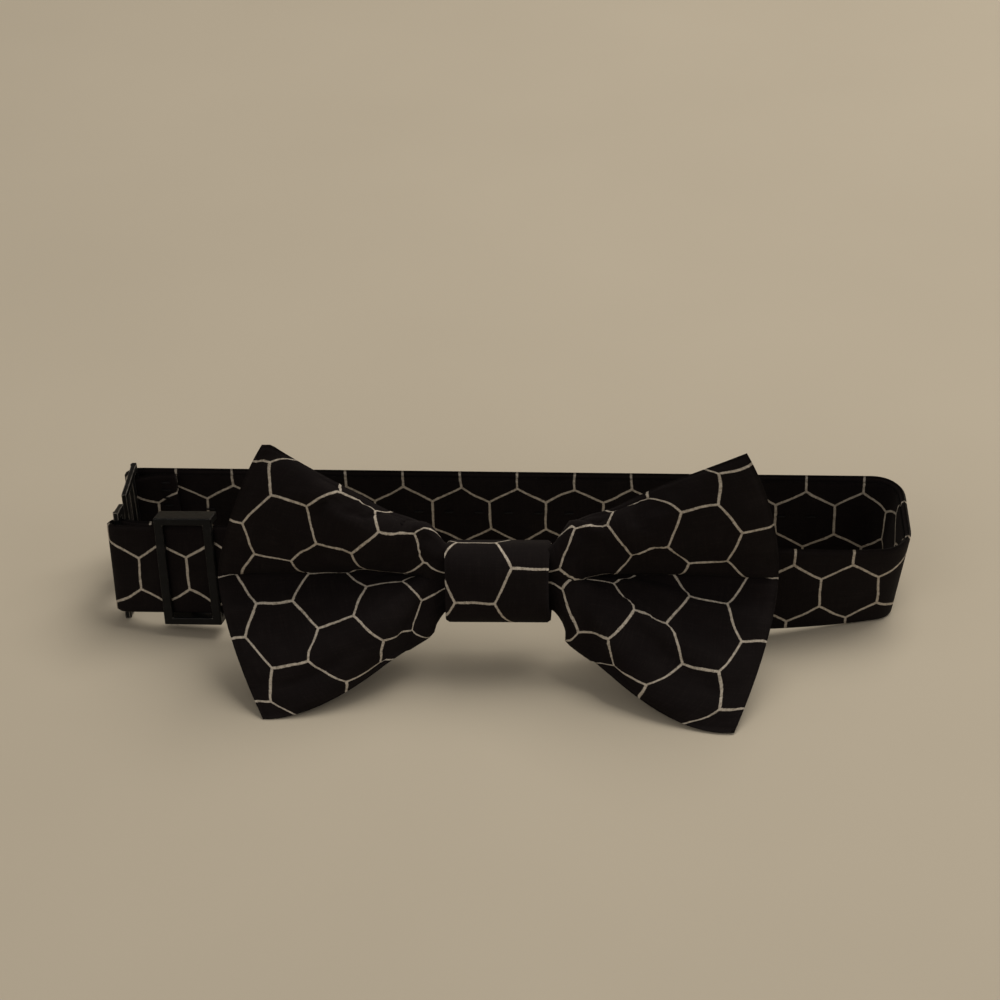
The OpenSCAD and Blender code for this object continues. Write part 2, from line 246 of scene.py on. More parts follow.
def half_section(side, part, x, steps):
    """Half of an upright section at distance x: how far back, how high and how far along the cloth."""
    wing, half = wings[side], halves[(side, part)]
    t = max(0.0, (x - waist_x) / (half.out - waist_x))
    # Height of the gathered cloth in the middle of the knot and where it leaves it
    packed, leaving = (5.6, 7.6) if part == "upper" else (6.0, 7.8)
    waist = packed + (leaving - packed) * float(ease((x - spread_x) / (waist_x - spread_x)))
    rise_to = waist + (half.height - waist) * min(1.0, t * (half.flare - (half.flare - 1) * t))
    settle = float(ease(t / 0.35))
    upper = part == "upper"
    chord = math.radians(knot_tilt * (1 - settle) if upper else knot_tilt + settle * (wing.lean - knot_tilt))
    w = np.linspace(0, half.height, steps)
    mid = (w[1:] + w[:-1]) / 2
    swing = max(0.10, half.swing * lobe_angle(rise_to / half.height))
    slope = swing * np.cos(math.pi * mid / half.height) * np.tanh(mid / (crease_r + half.soften * t ** 1.5))
    slope = slope - half.curl * min(1.0, t) * (mid / half.height) ** 1.5
    step = w[1] - w[0]
    forward = np.sin(slope) * (wing.depth + wing.gain * float(ease(t / 0.3)))
    rise = np.cos(slope)
    rise = rise * rise_to / max(1e-6, np.sum(rise) * step)
    sign = 1.0 if upper else -1.0
    away = np.concatenate([[0], np.cumsum(forward * step)])
    height = np.concatenate([[0], np.cumsum(rise * step)])
    y = height * math.sin(chord) * sign - away * math.cos(chord)
    z = height * math.cos(chord) * sign + away * math.sin(chord)
    return y, z, w


def wing_sheet(side, columns, half_rows):
    """One wing from the knot outward: points, and the distances along and up the cloth."""
    wing = wings[side]
    lower, upper = halves[(side, "lower")], halves[(side, "upper")]
    points, heights, fronts, presses = [], [], [], []
    for s in np.linspace(0, 1, columns) ** 1.1:
        x = wing_out * s
        (yl, zl, wl), (yu, zu, wu) = (half_section(side, part, x, half_rows) for part in ("lower", "upper"))
        y = np.concatenate([yl[::-1], yu[1:]])
        z = np.concatenate([zl[::-1], zu[1:]])
        w = np.concatenate([-wl[::-1], wu[1:]])
        out = np.where(w < 0, lower.out, upper.out)
        share = np.abs(w) / np.where(w < 0, lower.height, upper.height)
        edge = out + (wing.reach - out) * (1 - share ** np.where(w < 0, lower.power, upper.power))
        t = float(np.clip((x - waist_x) / (wing_out - waist_x), 0, 1))
        # The pleat lies further back outside the knot, and its outer part sweeps forward again
        valley = 1.9 * float(ease((x - waist_x) / 9)) + wing.sweep * float(ease((x - 26) / 22))
        points.append(np.stack([x + t * (edge - wing_out), y, z], axis=1))
        fronts.append(valley)
        heights.append(w)
        # The folds are pressed flat inside the knot
        room = 30.0 * float(ease((x - waist_x + 0.8) / 16))
        flat_y = min(1.0, (knot_room_y + room) / np.max(np.abs(y)))
        flat_z = min(1.0, (knot_room_z + room) / np.max(np.abs(z)))
        presses.append((1.0, flat_y, flat_z))
    points = np.swapaxes(np.array(points), 0, 1)
    step = np.linalg.norm(np.diff(points, axis=1), axis=2)
    along = np.concatenate([np.zeros((points.shape[0], 1)), np.cumsum(step, axis=1)], axis=1)
    points = points * np.array(presses)[None] + np.array([0, 1, 0]) * np.array(fronts)[None, :, None]
    return points, along, np.array(heights).T


def print_map(side, along, up):
    """Place on the printed pattern of each point of a wing, in millimetres of pattern."""
    wing = wings[side]
    w = (up - wing.print_w) / wing.stretch_w
    curve = np.where(up < 0, halves[(side, "lower")].print_curve, halves[(side, "upper")].print_curve)
    u = (along - print_centre - wing.print_u - curve * (w / 31.0) ** 2) / wing.stretch_u + print_centre
    return u, w


def bow_grid(columns=61, half_rows=34):
    """Mid-surface of the bow, rows from its lower to its upper edge and columns from left to right, with
    its cloth map and each point's distance from the outline."""
    grids, maps, edges = [], [], []
    for side, sign in (("left", -1), ("right", 1)):
        points, along, up = wing_sheet(side, columns, half_rows)
        u, w = print_map(side, along, up)
        edge = np.minimum(np.minimum(up - up[:1], up[-1:] - up), along[:, -1:] - along)
        points = pleat + points * np.array([sign, 1, 1])
        outward = slice(None, None, -1) if sign < 0 else slice(1, None)
        for kept, values in ((grids, points), (maps, np.stack([sign * u, w], axis=2)), (edges, edge)):
            kept.append(values[:, outward])
    return tuple(np.concatenate(pair, axis=1) for pair in (grids, maps, edges))


def lower_to_surface(grid):
    """The bow with its lower tips raised to stand on the surface, where they would sink into it."""
    low = grid[:, :, 2].min()
    grid = grid.copy()
    grid[:, :, 2] += max(0.0, 0.15 - low) * ease((pleat[2] - grid[:, :, 2]) / 10)
    return grid


def crumpled(grid, edge):
    """The sheet after a short cloth simulation. A copy ten times its size, held at the knot and loosely
    everywhere else, is cut a little too large and so gathers into fine wrinkles. Only the wrinkles are
    kept, and no point moves further than max_move."""
    big, max_move, frames, oversize = 10.0, 0.75, 18, 0.035
    rows, cols = grid.shape[:2]
    verts = [tuple(v) for v in (grid.reshape(-1, 3) * MM * big)]
    faces = [(i * cols + j, i * cols + j + 1, (i + 1) * cols + j + 1, (i + 1) * cols + j)
             for i in range(rows - 1) for j in range(cols - 1)]
    mesh = bpy.data.meshes.new("crumple")
    mesh.from_pydata(verts, [], faces)
    obj = link(bpy.data.objects.new("crumple", mesh))
    group = obj.vertex_groups.new(name="held")
    held = 1 - 0.93 * ease((np.abs(grid[:, :, 0]) - knot_w / 2 + 0.5) / 5)
    for index, weight in enumerate(held.ravel()):
        group.add([index], float(weight), "REPLACE")
    cloth = obj.modifiers.new("cloth", "CLOTH")
    cloth.settings.quality = 7
    cloth.settings.mass = 0.25
    cloth.settings.tension_stiffness = 25
    cloth.settings.compression_stiffness = 25
    cloth.settings.shear_stiffness = 8
    cloth.settings.bending_stiffness = 0.6
    cloth.settings.air_damping = 4
    cloth.settings.shrink_min = -oversize
    cloth.settings.vertex_group_mass = "held"
    cloth.settings.pin_stiffness = 1.2
    cloth.settings.effector_weights.gravity = 0.25
    cloth.point_cache.frame_start = 1
    cloth.point_cache.frame_end = frames
    scene = bpy.context.scene
    for f in range(1, frames + 1):
        scene.frame_set(f)
    done = obj.evaluated_get(bpy.context.evaluated_depsgraph_get()).to_mesh()
    flat = np.empty(len(done.vertices) * 3)
    done.vertices.foreach_get("co", flat)
    moved = flat.reshape(rows, cols, 3) / (MM * big) - grid
    scene.frame_set(1)
    bpy.data.objects.remove(obj)
    bpy.data.meshes.remove(mesh)
    slow = moved.copy()
    for _ in range(60):
        slow[1:-1] = (slow[:-2] + 2 * slow[1:-1] + slow[2:]) / 4
        slow[:, 1:-1] = (slow[:, :-2] + 2 * slow[:, 1:-1] + slow[:, 2:]) / 4
    moved = moved - slow
    size = np.linalg.norm(moved, axis=2, keepdims=True)
    moved = moved * np.tanh(size / max_move) * max_move / np.maximum(size, 1e-9)
    return grid + moved * ease(edge / 3.0)[:, :, None]


bow_mid, bow_uv, bow_edge = bow_grid()
bow_mid = crumpled(bow_mid, bow_edge)
bow_mid = lower_to_surface(bow_mid)


def bow_normals():
    """Unit normals of the bow, towards the viewer."""
    n = -normals(bow_mid)
    return -n if n[bow_mid.shape[0] // 2, 10, 1] > 0 else n


def bow_pieces():
    n = bow_normals()
    edge = bow_edge
    puff = rolled(edge, 1.3)[:, :, None] * ply_half
    wave = 0.10 * ripple(bow_uv[:, :, 0], bow_uv[:, :, 1], 5)[:, :, None] * ease(edge / 6)[:, :, None]
    made = {}
    for name, sgn, node in (("bow_front", 1, "bow_front_ply"), ("bow_back", -1, "bow_back_ply")):
        outer = bow_mid + n * (sgn * puff + wave)
        inner = bow_mid + n * (sgn * np.maximum(puff - ply_t, 0.02) + wave)
        sides = (outer, inner) if sgn > 0 else (inner, outer)
        piece = skin(name, *sides, bow_uv)
        made[name] = piece
        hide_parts(node)
    keep = slice(2, -2)
    core, lift = bow_mid[keep, keep], n[keep, keep] * lining_half
    middle = skin("bow_lining", core + lift, core - lift, bow_uv[keep, keep])
    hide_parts("bow_stiffener")
    made["bow_lining"] = middle
    return made


# ---------------------------------------------------------------- knot
tilt = math.radians(knot_tilt)
knot_back = np.array([0, math.cos(tilt), -math.sin(tilt)])
knot_up = np.array([0, math.sin(tilt), math.cos(tilt)])


def rounded_loop(depth, height, radii, count):
    """Points (back, up) round a rounded rectangle, evenly spaced, from the middle of the back face. radii
    are those of its back and its front corners."""
    pts = []
    for cy, cz, a0 in ((1, 1, 0), (-1, 1, 90), (-1, -1, 180), (1, -1, 270)):
        radius = radii[0] if cy > 0 else radii[1]
        for a in np.linspace(a0, a0 + 90, 12):
            r = math.radians(a)
            pts.append((cy * (depth / 2 - radius) + radius * math.cos(r),
                        cz * (height / 2 - radius) + radius * math.sin(r)))
    pts = np.array([(depth / 2, 0.0)] + pts + [(depth / 2, 0.0)])
    pts[:, 1] *= 1 - back_taper * ease((pts[:, 0] + depth / 2 - 2) / (depth - 2))
    s = np.concatenate([[0], np.cumsum(np.linalg.norm(np.diff(pts, axis=0), axis=1))])
    even = np.linspace(0, s[-1], count + 1)
    loop = np.stack([np.interp(even, s, pts[:, 0]), np.interp(even, s, pts[:, 1])], axis=1)
    return loop[:-1], even


def loop_normals(loop):
    """Outward unit normals of a closed loop of points."""
    tangent = np.roll(loop, -1, axis=0) - np.roll(loop, 1, axis=0)
    out = np.stack([tangent[:, 1], -tangent[:, 0]], axis=1)
    return out / np.linalg.norm(out, axis=1, keepdims=True)


def knot_piece(name, width, depth, height, radii, thick, seed, puffy):
    """A wrapped loop of cloth round the waist. puffy is how far its front swells, in millimetres."""
    loop, s = rounded_loop(depth, height, radii, 132)
    xs = np.linspace(-width / 2, width / 2, 33)
    outer, inner = [], []
    for i, (p, n) in enumerate(zip(loop, loop_normals(loop))):
        front = float(ease((-p[0] - depth * 0.2) / (depth * 0.3)))
        row_o, row_i = [], []
        for x in xs:
            edge = width / 2 - abs(x)
            swell = puffy * front * (1 - (p[1] / (height / 2)) ** 2)
            crown = swell * (1 - (2 * x / width) ** 2)
            pinch = 1 - 0.035 * swell
            wave = 0.07 * puffy * float(ripple(x, s[i], seed)) * float(ease(edge / 5))
            lift = thick * 0.5 * float(rolled(edge, 0.9))
            o = p + n * (crown + wave + lift - thick * 0.5)
            q = p + n * (crown + wave - lift - thick * 0.5)
            px = x * pinch
            for row, at in ((row_o, o), (row_i, q)):
                across = px * np.array([1, 0, 0])
                row.append(knot_c + across + at[0] * knot_back + (at[1] - knot_sag) * knot_up)
        outer.append(row_o)
        inner.append(row_i)
    uv = [[(x, v - s[-1] / 2) for x in xs] for v in s]
    return skin(name, np.array(inner), np.array(outer), uv, wrap=True)


# ---------------------------------------------------------------- neck band
def turn(v, a):
    c, s = math.cos(a), math.sin(a)
    return np.array([v[0] * c - v[1] * s, v[0] * s + v[1] * c, v[2]])


def strap_point(x, y):
    return strap_start + x * sx + y * sy


def station(p, heading, rise, lean, width=band_w):
    """Point, inward direction, upward direction and width of the band; angles in degrees."""
    h, r, t = (math.radians(a) for a in (heading, rise, lean))
    inward = turn((math.sin(t) * math.sin(r), math.cos(t), -math.sin(t) * math.cos(r)), h)
    upward = turn((-math.cos(t) * math.sin(r), math.sin(t), math.cos(t) * math.cos(r)), h)
    return np.array(p, float), inward, upward, width


def strap_station(x, y, a):
    """A station of the strap, x along it and y behind its mid-plane, with its face turned by a degrees."""
    n = turn((0, 1, 0), math.radians(a))
    return strap_point(x, y), n[0] * sx + n[1] * sy, sz, band_w


knot_band = knot_c + 3.818 * knot_back
strap_len = (knot_band[0] - knot_w / 2 - strap_start[0]) / sx[0]


def run_station(x):
    """The front run from the knot to the right bend, sinking to the surface and standing up straighter."""
    run = right_x - knot_w / 2
    s = max(0.0, x - knot_w / 2) / run
    drop = knot_band[2] - band_w / 2
    sink = 1.5             # power of the curve by which the band comes down to the surface
    bulge = front_y - knot_band[1]
    p = (x, front_y - bulge * (1 - s * s), band_w / 2 + drop * (1 - s) ** sink)
    heading = math.degrees(math.atan(2 * bulge * s / run))
    rise = -math.degrees(math.atan(sink * drop * (1 - s) ** (sink - 1) / run)) if s > 0 else 0.0
    wide = float(ease((abs(x) - knot_w / 2) / squeeze_l))
    return station(p, heading, rise, knot_tilt * (1 - s) + lean_front * s * s,
                   squeezed_w + wide * (band_w - squeezed_w))


def back_z(x):
    """Height of the band's middle along the back run, which rises to the eye."""
    return band_w / 2 + (eye_bar[2] - band_w / 2) * (right_x - x) / (right_x - eye_bar[0])


def band_path():
    """Stations round the hook, through the knot, round the right bend, along the back and round the eye."""
    made = []
    for a in np.linspace(180, 360, 17):
        n = turn((0, 1, 0), math.radians(a))
        made.append(strap_station(-fold_r * n[0], fold_r - fold_r * n[1], a))
    for x in np.linspace(2, strap_len - squeeze_l, 30):
        made.append(strap_station(x, 0, 0))
    for x in np.linspace(-knot_w / 2, knot_w / 2 + squeeze_l, 16):
        made.append(run_station(x))
    for x in np.linspace(knot_w / 2 + squeeze_l, right_x, 30)[1:]:
        made.append(run_station(x))
    for cy, a0, l0, l1 in ((front_y + bend_r, 0, lean_front, lean_bend),
                           (back_y - bend_r, 90, lean_bend, lean_back)):
        for f in np.linspace(0, 1, 10)[(1 if a0 == 0 else 0):]:
            a = a0 + 90 * f
            n = turn((0, 1, 0), math.radians(a))
            p = (right_x - bend_r * n[0], cy - bend_r * n[1], band_w / 2)
            made.append(station(p, a, 0, l0 + (l1 - l0) * f))
    for x in np.linspace(right_x, eye_bar[0], 50)[1:]:
        lean = lean_back * (x - eye_bar[0]) / (right_x - eye_bar[0])
        made.append(station((x, back_y, back_z(x)), 180, 0, lean))
    for a in np.linspace(180, 360, 17)[1:]:
        n = turn((0, 1, 0), math.radians(a))
        made.append(station(eye_bar - fold_r * n, a, 0, 0))
    for x in np.linspace(eye_bar[0] + 3 * fold_r, eye_bar[0] + eye_lap, 4):
        made.append(station((x, back_y - lap, eye_bar[2]), 360, 0, 0))
    return made


def resample(made, step):
    """Stations spaced evenly along the path, smoothed a little so that straight pieces meet in curves."""
    p = np.array([m[0] for m in made])
    n = np.array([m[1] for m in made])
    u = np.array([m[2] for m in made])
    w = np.array([m[3] for m in made])
    s = np.concatenate([[0], np.cumsum(np.linalg.norm(np.diff(p, axis=0), axis=1))])
    even = np.linspace(0, s[-1], int(round(s[-1] / step)) + 1)

    def at(values):
        return np.stack([np.interp(even, s, values[:, k]) for k in range(values.shape[1])], axis=1)

    p, n, u = at(p), at(n), at(u)
    w = np.interp(even, s, w)
    for _ in range(2):
        for values in (p, n, u):
            values[1:-1] = (values[:-2] + 2 * values[1:-1] + values[2:]) / 4
        w[1:-1] = (w[:-2] + 2 * w[1:-1] + w[2:]) / 4
    n /= np.linalg.norm(n, axis=1, keepdims=True)
    u /= np.linalg.norm(u, axis=1, keepdims=True)
    return p, n, u, w, even


def band_print(p, s):
    """Place along the printed pattern of each station. The strap is eased through the slider, and the
    pattern starts afresh behind the knot."""
    before_slider, after_slider = -3.69, -1.69
    fold_l, seen_x, eased_l = 5.34, 10.2, 1.6     # strap round the hook, the ease's place and length
    u = s + before_slider + (after_slider - before_slider) * ease((s - fold_l - seen_x) / eased_l + 0.5)
    side_x, pitch = 66.4, 12.5
    front = (p[:, 0] > 0) & (p[:, 1] < front_y + 1)
    side = float(np.interp(side_x, p[front, 0], s[front]))
    behind = float(np.interp(0.0, p[: len(p) // 2, 0], s[: len(p) // 2]))
    shift = (pitch / 2 - (side + after_slider)) % pitch
    return u + np.where(s > behind, shift, 0.0)


def ribbon(name, made, lo, hi, inset=0.0, step=0.9, seed=None, across=15, pattern=None):
    """Flat ribbon along the stations, from lo to hi across the band's thickness, with rounded edges."""
    p, n, u, w, s = resample(made, step)
    f = np.linspace(-1, 1, across)
    f = np.sign(f) * (1 - (1 - np.abs(f)) ** 1.6)
    half = (w / 2 - inset)[:, None]
    pos = f[None, :] * half
    mid, thick = (lo + hi) / 2, (hi - lo) / 2
    edge = half - np.abs(pos)
    round_off = rolled(edge, thick * 1.1)
    wave = np.zeros_like(pos)
    if seed is not None:
        wave = 0.10 * ripple(s[:, None] * 1.3, pos, seed) * ease(edge / 4)
    base = p[:, None, :] + pos[:, :, None] * u[:, None, :]
    outer = base + (mid - thick * round_off + wave)[:, :, None] * n[:, None, :]
    inner = base + (mid + thick * round_off + wave)[:, :, None] * n[:, None, :]
    u = pattern(p, s) if pattern else s
    uv = np.stack([np.repeat(u[:, None], across, axis=1), pos], axis=2)
    return skin(name, outer, inner, uv)


# ---------------------------------------------------------------- thread
def stitches(name, places, radius=thread_r):
    """Short raised stitches. places holds (middle, direction, outward, length) in millimetres."""
    verts, faces = [], []
    ring, along = 8, 9
    for middle, direction, outward, length in places:
        d = direction / np.linalg.norm(direction)
        o = outward - np.dot(outward, d) * d
        o /= np.linalg.norm(o)
        side = np.cross(d, o)
        start = len(verts)
        for k in range(along):
            f = k / (along - 1)
            taper = math.sqrt(max(0.02, 1 - (2 * f - 1) ** 4))
            centre = middle + d * (f - 0.5) * length + o * radius * (1.1 * taper - 0.55)
            for q in range(ring):
                a = 2 * math.pi * q / ring + 1.2 * f * math.pi
                r = radius * taper * (1 + 0.12 * math.cos(2 * a))
                verts.append(centre + r * (math.cos(a) * side + math.sin(a) * o))
        for k in range(along - 1):
            for q in range(ring):
                a, b = start + k * ring + q, start + k * ring + (q + 1) % ring
                faces.append((a, a + ring, b + ring, b))
        faces.append(tuple(range(start, start + ring)))
        faces.append(tuple(range(start + along * ring - 1, start + (along - 1) * ring - 1, -1)))
    return mesh_object(name, np.array(verts), faces)


def seam_places():
    """Slip stitches that close the band, along the inside of the back run."""
    step = 6.6
    first = eye_bar[0] + eye_lap + step
    xs = np.arange(first, right_x - step, step)
    return [(np.array([x, back_y - band_t / 2 - 0.1, back_z(x)]), np.array([1.0, 0, 0.04]),
             np.array([0, -1.0, 0]), 2.2) for x in xs]


def column_places(middle, across, upward, outward, count, step, length=2.2):
    """A column of count stitches a step apart."""
    return [(middle + upward * (i - (count - 1) / 2) * step, across, outward, length) for i in range(count)]


def tube_ring(name, loops, radius):
    """Thread wound in closed loops of points."""
    verts, faces = [], []
    ring = 8
    for points in loops:
        start, count = len(verts), len(points)
        ahead = np.roll(points, -1, axis=0) - np.roll(points, 1, axis=0)
        ahead /= np.linalg.norm(ahead, axis=1, keepdims=True)
        for p, d in zip(points, ahead):
            side = np.array([1.0, 0, 0])
            up = np.cross(d, side)
            for q in range(ring):
                a = 2 * math.pi * q / ring
                verts.append(p + radius * (math.cos(a) * side + math.sin(a) * up))
        for k in range(count):
            for q in range(ring):
                a, b = start + k * ring + q, start + k * ring + (q + 1) % ring
                c, d = start + ((k + 1) % count) * ring + (q + 1) % ring, start + ((k + 1) % count) * ring + q
                faces.append((a, b, c, d))
    return mesh_object(name, np.array(verts), faces)


def gather_loops():
    """Three turns of thread round the gathered waist, inside the knot."""
    loop, _ = rounded_loop(6.4, 13.6, (1.6, 1.6), 60)
    return [np.array([pleat + np.array([x, 0, 0]) + y * knot_back + z * knot_up for y, z in loop])
            for x in (-1.0, 0.0, 1.0)]


# ---------------------------------------------------------------- strap end
return_end = slider_x - 1.75


def strap_return():
    """The strap's end, from behind the hook's fold back to the slider's middle bar."""
    made = [strap_station(x, y, 180) for x, y in
            ((return_end, lap), (11.0, lap), (8.0, lap), (3 * fold_r, lap + 0.05), (3.4, lap + 0.55),
             (1.8, 2 * fold_r - 0.35), (0.6, 2 * fold_r), (0.0, 2 * fold_r))]
    return ribbon("strap_return", made, -band_t / 2, band_t / 2, step=0.6, seed=21,
                  pattern=lambda p, s: s + 6.3)      # no upright line where the piece stretches


def strap_loop():
    """The strap's end sewn round the slider's middle bar."""
    loop, s = rounded_loop(2.5, 3.9, (1.1, 1.1), 48)
    heights = np.linspace(-band_w / 2, band_w / 2, 27)
    centre = strap_point(slider_x, bar_y)
    outer, inner = [], []
    for p, n in zip(loop, loop_normals(loop)):
        edge = rolled(band_w / 2 - np.abs(heights), 0.5)
        row_o, row_i = [], []
        for h, e in zip(heights, edge):
            for row, away in ((row_o, 0.35 * e - 0.35), (row_i, -0.35 * e - 0.35)):
                q = p + n * away
                row.append(centre + q[0] * sy + q[1] * sx + h * sz)
        outer.append(row_o)
        inner.append(row_i)
    uv = [[(v, h) for h in heights] for v in s]
    return skin("strap_loop", np.array(outer), np.array(inner), uv, wrap=True)


# ---------------------------------------------------------------- metal
def softened(name, node, width):
    """A CAD metal part with its edges rounded, in place of the sharp one."""
    source = nodes[node]
    mesh = source.data.copy()
    mesh.name = name
    piece = link(bpy.data.objects.new(name, mesh))
    bpy.context.view_layer.objects.active = piece
    bpy.ops.object.select_all(action="DESELECT")
    piece.select_set(True)
    bpy.ops.object.mode_set(mode="EDIT")
    bpy.ops.mesh.select_all(action="SELECT")
    bpy.ops.mesh.remove_doubles(threshold=1e-6)
    bpy.ops.mesh.dissolve_limited(angle_limit=math.radians(2))
    bpy.ops.object.mode_set(mode="OBJECT")
    bevel = piece.modifiers.new("edges", "BEVEL")
    bevel.width = width * MM
    bevel.segments = 3
    bevel.limit_method = "ANGLE"
    bevel.angle_limit = math.radians(40)
    bevel.harden_normals = False
    bpy.ops.object.modifier_apply(modifier=bevel.name)
    piece.data.polygons.foreach_set("use_smooth", [True] * len(piece.data.polygons))
    weighted = piece.modifiers.new("normals", "WEIGHTED_NORMAL")
    weighted.keep_sharp = False
    bpy.ops.object.modifier_apply(modifier=weighted.name)
    piece.select_set(False)
    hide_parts(node)
    return piece


# ---------------------------------------------------------------- node helpers
class Graph:
    """A short way to write a material's nodes."""

    def __init__(self, name):
        self.mat = bpy.data.materials.new(name)
        self.mat.use_nodes = True
        self.tree = self.mat.node_tree
        self.tree.nodes.clear()
        self.out = self.tree.nodes.new("ShaderNodeOutputMaterial")
        self.bsdf = self.tree.nodes.new("ShaderNodeBsdfPrincipled")
        self.tree.links.new(self.bsdf.outputs[0], self.out.inputs["Surface"])

    def put(self, socket, value):
        if isinstance(value, bpy.types.NodeSocket):
            self.tree.links.new(value, socket)
        elif value is not None:
            if hasattr(socket.default_value, "__len__") and not hasattr(value, "__len__"):
                value = (value,) * len(socket.default_value)
            socket.default_value = value

    def node(self, kind, inputs=(), **options):
        n = self.tree.nodes.new(kind)
        for key, value in options.items():
            setattr(n, key, value)
        for key, value in dict(inputs).items():
            self.put(n.inputs[key], value)
        return n

    def math(self, op, a, b=None, clamp=False):
        n = self.node("ShaderNodeMath", operation=op, use_clamp=clamp)
        for i, v in enumerate((a, b)):
            if v is not None:
                self.put(n.inputs[i], v)
        return n.outputs[0]

    def mix(self, factor, a, b):
        n = self.node("ShaderNodeMix", data_type="RGBA")
        self.put(n.inputs[0], factor)
        self.put(n.inputs[6], a)
        self.put(n.inputs[7], b)
        return n.outputs[2]

    def ramp(self, value, low, high):
        """0 below low, 1 above high, smooth between."""
        n = self.node("ShaderNodeMapRange", {"Value": value, "From Min": low, "From Max": high},
                      interpolation_type="SMOOTHSTEP")
        return n.outputs[0]

    def noise(self, vector, scale, detail=2.0, rough=0.5):
        n = self.node("ShaderNodeTexNoise", {"Vector": vector, "Scale": scale, "Detail": detail,
                                             "Roughness": rough})
        return n.outputs["Fac"]

    def bump(self, height, strength, distance, normal=None):
        n = self.node("ShaderNodeBump", {"Height": height, "Strength": strength, "Distance": distance})
        if normal is not None:
            self.put(n.inputs["Normal"], normal)
        return n.outputs[0]


def cloth_axes(g):
    """Millimetres along and across the cloth, and the two together as a vector."""
    uv = g.node("ShaderNodeUVMap", uv_map="Cloth")
    split = g.node("ShaderNodeSeparateXYZ", {0: uv.outputs[0]})
    u = g.math("MULTIPLY", split.outputs[0], UV_MM)
    v = g.math("MULTIPLY", split.outputs[1], UV_MM)
    both = g.node("ShaderNodeCombineXYZ", {0: u, 1: v})
    return u, v, both.outputs[0]


def plain_weave(g, u, v, both, pitch):
    """Height of a plain weave with threads a pitch apart, and a slow unevenness of the yarns."""
    du = g.math("MULTIPLY", u, math.pi / pitch)
    dv = g.math("MULTIPLY", v, math.pi / pitch)
    drift = g.math("MULTIPLY", g.noise(both, 0.5), 2.2)
    du = g.math("ADD", du, drift)
    dv = g.math("ADD", dv, drift)
    su, sv = g.math("SINE", du), g.math("SINE", dv)
    cu, cv = g.math("ABSOLUTE", su), g.math("ABSOLUTE", sv)
    check = g.math("MULTIPLY", g.math("COSINE", du), g.math("COSINE", dv))
    over = g.ramp(check, -0.35, 0.35)
    warp = g.math("POWER", cu, 0.6)
    weft = g.math("POWER", cv, 0.6)
    height = g.math("ADD", g.math("MULTIPLY", warp, over),
                    g.math("MULTIPLY", weft, g.math("SUBTRACT", 1.0, over)))

    def yarns(scale_u, scale_v):
        place = {0: g.math("MULTIPLY", u, scale_u), 1: g.math("MULTIPLY", v, scale_v)}
        return g.noise(g.node("ShaderNodeCombineXYZ", place).outputs[0], 1.0, 3.0)

    slub = g.math("ADD", yarns(0.12, 3.2), yarns(3.2, 0.12))
    return height, g.math("MULTIPLY", slub, 0.5)


def hexagons(g, u, v, both, pitch_u, pitch_v, shift, upright, line):
    """Mask of the printed outline, 1 on the line. pitch_u and pitch_v are the distances between
    columns and between rows of hexagons; upright gives hexagons with a point at the top."""
    wob = 0.34
    nu = g.noise(both, 0.11, 1.0)
    moved = g.node("ShaderNodeVectorMath", {0: both, 1: (37.0, 11.0, 0.0)}, operation="ADD").outputs[0]
    nv = g.noise(moved, 0.13, 1.0)
    fine = g.noise(moved, 0.9, 2.0)
    u = g.math("ADD", u, g.math("MULTIPLY", g.math("SUBTRACT", nu, 0.5), 4 * wob))
    v = g.math("ADD", v, g.math("MULTIPLY", g.math("SUBTRACT", nv, 0.5), 4 * wob))
    root3 = math.sqrt(3)
    if upright:
        x = g.math("DIVIDE", g.math("SUBTRACT", u, shift[0]), pitch_u)
        y = g.math("DIVIDE", g.math("SUBTRACT", v, shift[1]), pitch_v * 2 / root3)
        unit = pitch_u
    else:
        x = g.math("DIVIDE", g.math("SUBTRACT", v, shift[1]), pitch_v)
        y = g.math("DIVIDE", g.math("SUBTRACT", u, shift[0]), pitch_u * 2 / root3)
        unit = pitch_v

    def cell(dx, dy):
        a = g.math("FLOORED_MODULO", g.math("ADD", x, dx), 1.0)
        b = g.math("FLOORED_MODULO", g.math("ADD", y, dy), root3)
        a = g.math("ABSOLUTE", g.math("SUBTRACT", a, 0.5))
        b = g.math("ABSOLUTE", g.math("SUBTRACT", b, root3 / 2))
        slanted = g.math("ADD", g.math("MULTIPLY", a, 0.5), g.math("MULTIPLY", b, root3 / 2))
        return g.math("MAXIMUM", slanted, a)

    # Hexagon centres lie at whole x with y in steps of root 3, and half-way between them
    d = g.math("MINIMUM", cell(0.5, root3 / 2), cell(0.0, 0.0))
    away = g.math("MULTIPLY", g.math("SUBTRACT", 0.5, d), unit)
    ragged = g.noise(both, 4.5, 3.0, 0.7)
    half = g.math("ADD", line / 2, g.math("MULTIPLY", g.math("SUBTRACT", ragged, 0.5), 0.30))
    half = g.math("ADD", half, g.math("MULTIPLY", g.math("SUBTRACT", fine, 0.5), 0.16))
    inside = g.math("SUBTRACT", half, away)
    return g.ramp(inside, -0.055, 0.055)


COTTON = (0.0056, 0.0034, 0.0034, 1)
COTTON_WORN = (0.0138, 0.0100, 0.0094, 1)
INK = (0.52, 0.455, 0.37, 1)
INK_THIN = (0.27, 0.23, 0.18, 1)


